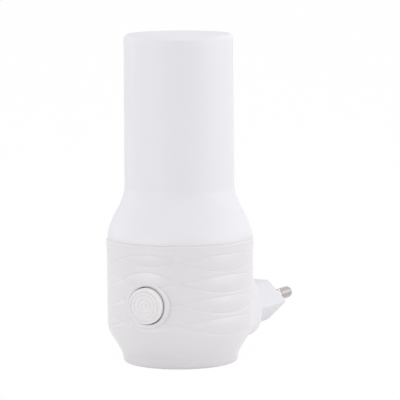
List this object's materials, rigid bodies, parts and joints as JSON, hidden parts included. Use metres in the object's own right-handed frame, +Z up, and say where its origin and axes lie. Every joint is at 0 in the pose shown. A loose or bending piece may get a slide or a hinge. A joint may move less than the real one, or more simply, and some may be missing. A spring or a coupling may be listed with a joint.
{
  "type": "plug in night light",
  "caption": "Plug-in night light: opal tube on a round base with a push button in front and a flat two-pin mains plug behind; stands on its foot or hangs from a socket.",
  "frame": {"origin": "centre of the foot's underside, on the lamp's axis", "axes": "+Z up along the lamp's axis, +Y towards the tips of the plug's pins, -Y towards the push button, +X to the right seen from the button's side"},
  "size_m": [0.0484, 0.0909, 0.1076],
  "materials": {
    "housing_plastic": "white moulded plastic, satin",
    "opal_plastic": "opal white, lets light through",
    "button_plastic": "white moulded plastic, satin",
    "plug_plastic": "white moulded plastic with a faint blue tint",
    "sleeve_plastic": "white insulating sleeve",
    "pin_metal": "nickel-plated brass",
    "plated_metal": "tin-plated",
    "steel": "zinc-plated steel",
    "black_plastic": "black moulded plastic",
    "white_board": "white solder mask",
    "green_board": "green solder mask",
    "diode": "white package with a yellow phosphor window",
    "yellow_box": "yellow moulded box",
    "can_sleeve": "dark blue shrink sleeve",
    "fuse_coating": "green lacquer",
    "resistor_coating": "beige lacquer",
    "brown_insulation": "brown wire insulation",
    "blue_insulation": "blue wire insulation",
    "red_insulation": "red wire insulation",
    "black_insulation": "black wire insulation"
  },
  "bodies": {
    "lamp": {"base_housing": "housing_plastic", "diffuser": "opal_plastic", "switch_body": "black_plastic", "switch_spring": "steel", "switch_terminals": "plated_metal", "plug_body": "plug_plastic", "plug_pin_left": "pin_metal", "plug_pin_right": "pin_metal", "pin_sleeve_left": "sleeve_plastic", "pin_sleeve_right": "sleeve_plastic", "plug_screws": "steel", "light_tray": "housing_plastic", "tray_screws": "steel", "led_board": "white_board", "leds": "diode", "led_board_screws": "steel", "driver_board": "green_board", "film_capacitor": "yellow_box", "electrolytic_capacitor": "can_sleeve", "bridge_rectifier": "black_plastic", "fuse_resistor": "fuse_coating", "resistors": "resistor_coating", "live_wire": "brown_insulation", "neutral_wire": "blue_insulation", "lamp_wire_positive": "red_insulation", "lamp_wire_negative": "black_insulation"},
    "button": {"push_button": "button_plastic", "switch_plunger": "button_plastic"}
  },
  "joints": [
    {"name": "button_press", "type": "slide", "parent": "lamp", "child": "button", "axis": [0, 1, 0], "range_m": [0, 0.0016], "stiffness_N_per_m": 400, "springref_m": -0.003, "deforming": ["switch_spring"]}
  ]
}
